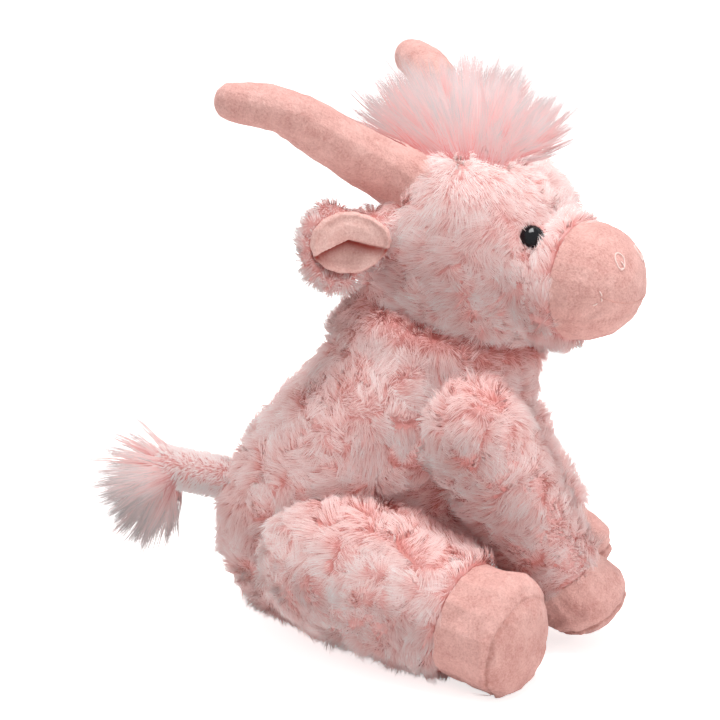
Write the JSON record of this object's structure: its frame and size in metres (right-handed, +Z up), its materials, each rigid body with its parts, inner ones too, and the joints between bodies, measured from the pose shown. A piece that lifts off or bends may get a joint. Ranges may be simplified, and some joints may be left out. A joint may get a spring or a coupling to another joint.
{
  "type": "plush cow",
  "caption": "Seated plush cow with a long-pile coat, stuffed velour horns, muzzle and hooves, button eyes, and a head, ears, legs and tail that flex.",
  "frame": {"origin": "middle of the flat on which the seat rests, on the floor plane", "axes": "+X the way the body faces, +Y to its left, +Z up; the head is turned to its right at rest"},
  "size_m": [0.2529, 0.2242, 0.2676],
  "materials": {
    "plush": "long swirled pile",
    "velour": "short velour nap",
    "long_pile": "long straight pile with pale tips",
    "filling": "polyester fibre filling",
    "bag_cloth": "woven inner cloth",
    "eye_black": "gloss",
    "thread": "embroidery thread"
  },
  "bodies": {
    "torso": {"body_cover": "plush", "body_stuffing": "filling", "seat_bean_bag": "bag_cloth"},
    "neck": {"neck_ring": "bag_cloth"},
    "head": {"head_cover": "plush", "head_stuffing": "filling", "muzzle_cover": "velour", "nostril_left": "thread", "nostril_right": "thread", "mouth_stitch": "thread", "eye_left": "eye_black", "eye_right": "eye_black", "eye_washer_left": "eye_black", "eye_washer_right": "eye_black", "forelock": "long_pile", "horn_left": "velour", "horn_right": "velour", "horn_stuffing_left": "filling", "horn_stuffing_right": "filling"},
    "ear_left": {"ear_left": "plush", "ear_lining_left": "velour"},
    "ear_right": {"ear_right": "plush", "ear_lining_right": "velour"},
    "front_leg_left": {"front_leg_left": "plush", "front_hoof_left": "velour", "front_sole_left": "velour", "front_stuffing_left": "filling"},
    "front_leg_right": {"front_leg_right": "plush", "front_hoof_right": "velour", "front_sole_right": "velour", "front_stuffing_right": "filling"},
    "hind_leg_left": {"hind_leg_left": "plush", "hind_hoof_left": "velour", "hind_sole_left": "velour", "hind_stuffing_left": "filling", "hoof_bean_bag_left": "bag_cloth"},
    "hind_leg_right": {"hind_leg_right": "plush", "hind_hoof_right": "velour", "hind_sole_right": "velour", "hind_stuffing_right": "filling", "hoof_bean_bag_right": "bag_cloth"},
    "tail": {"tail_cover": "plush", "tail_stuffing": "filling", "tail_tuft": "long_pile"}
  },
  "joints": [
    {"name": "head_turn", "type": "hinge", "parent": "torso", "child": "neck", "pos_m": [0.06, 0, 0.176], "axis": [0, 0, 1], "range_deg": [-15, 45], "stiffness_Nm_per_rad": 0.4},
    {"name": "head_nod", "type": "hinge", "parent": "neck", "child": "head", "pos_m": [0.06, 0, 0.176], "axis": [0.5299, 0.848, 0], "range_deg": [-15, 8], "stiffness_Nm_per_rad": 0.6},
    {"name": "ear_left_flap", "type": "hinge", "parent": "head", "child": "ear_left", "pos_m": [0.0566, 0.0474, 0.1868], "axis": [-0.0473, 0.2452, 0.9683], "range_deg": [-15, 15], "stiffness_Nm_per_rad": 0.01},
    {"name": "ear_right_flap", "type": "hinge", "parent": "head", "child": "ear_right", "pos_m": [0.01591, -0.01773, 0.1868], "axis": [-0.2411, -0.065, 0.9683], "range_deg": [-15, 15], "stiffness_Nm_per_rad": 0.01},
    {"name": "front_leg_left_lift", "type": "hinge", "parent": "torso", "child": "front_leg_left", "pos_m": [0.056, 0.047, 0.106], "axis": [-0.309, -0.9511, 0], "range_deg": [-6, 50], "stiffness_Nm_per_rad": 0.3},
    {"name": "front_leg_right_lift", "type": "hinge", "parent": "torso", "child": "front_leg_right", "pos_m": [0.056, -0.047, 0.106], "axis": [0.309, -0.9511, 0], "range_deg": [-6, 50], "stiffness_Nm_per_rad": 0.3},
    {"name": "hind_leg_left_lift", "type": "hinge", "parent": "torso", "child": "hind_leg_left", "pos_m": [-0.006, 0.036, 0.042], "axis": [0.2588, -0.9659, 0], "range_deg": [0, 20], "stiffness_Nm_per_rad": 0.3, "springref_deg": -11.46},
    {"name": "hind_leg_right_lift", "type": "hinge", "parent": "torso", "child": "hind_leg_right", "pos_m": [-0.006, -0.036, 0.042], "axis": [-0.2588, -0.9659, 0], "range_deg": [0, 20], "stiffness_Nm_per_rad": 0.3, "springref_deg": -11.46},
    {"name": "tail_wag", "type": "hinge", "parent": "torso", "child": "tail", "pos_m": [-0.05665, 0, 0.068], "axis": [0, 0, 1], "range_deg": [-30, 30], "stiffness_Nm_per_rad": 0.02}
  ]
}
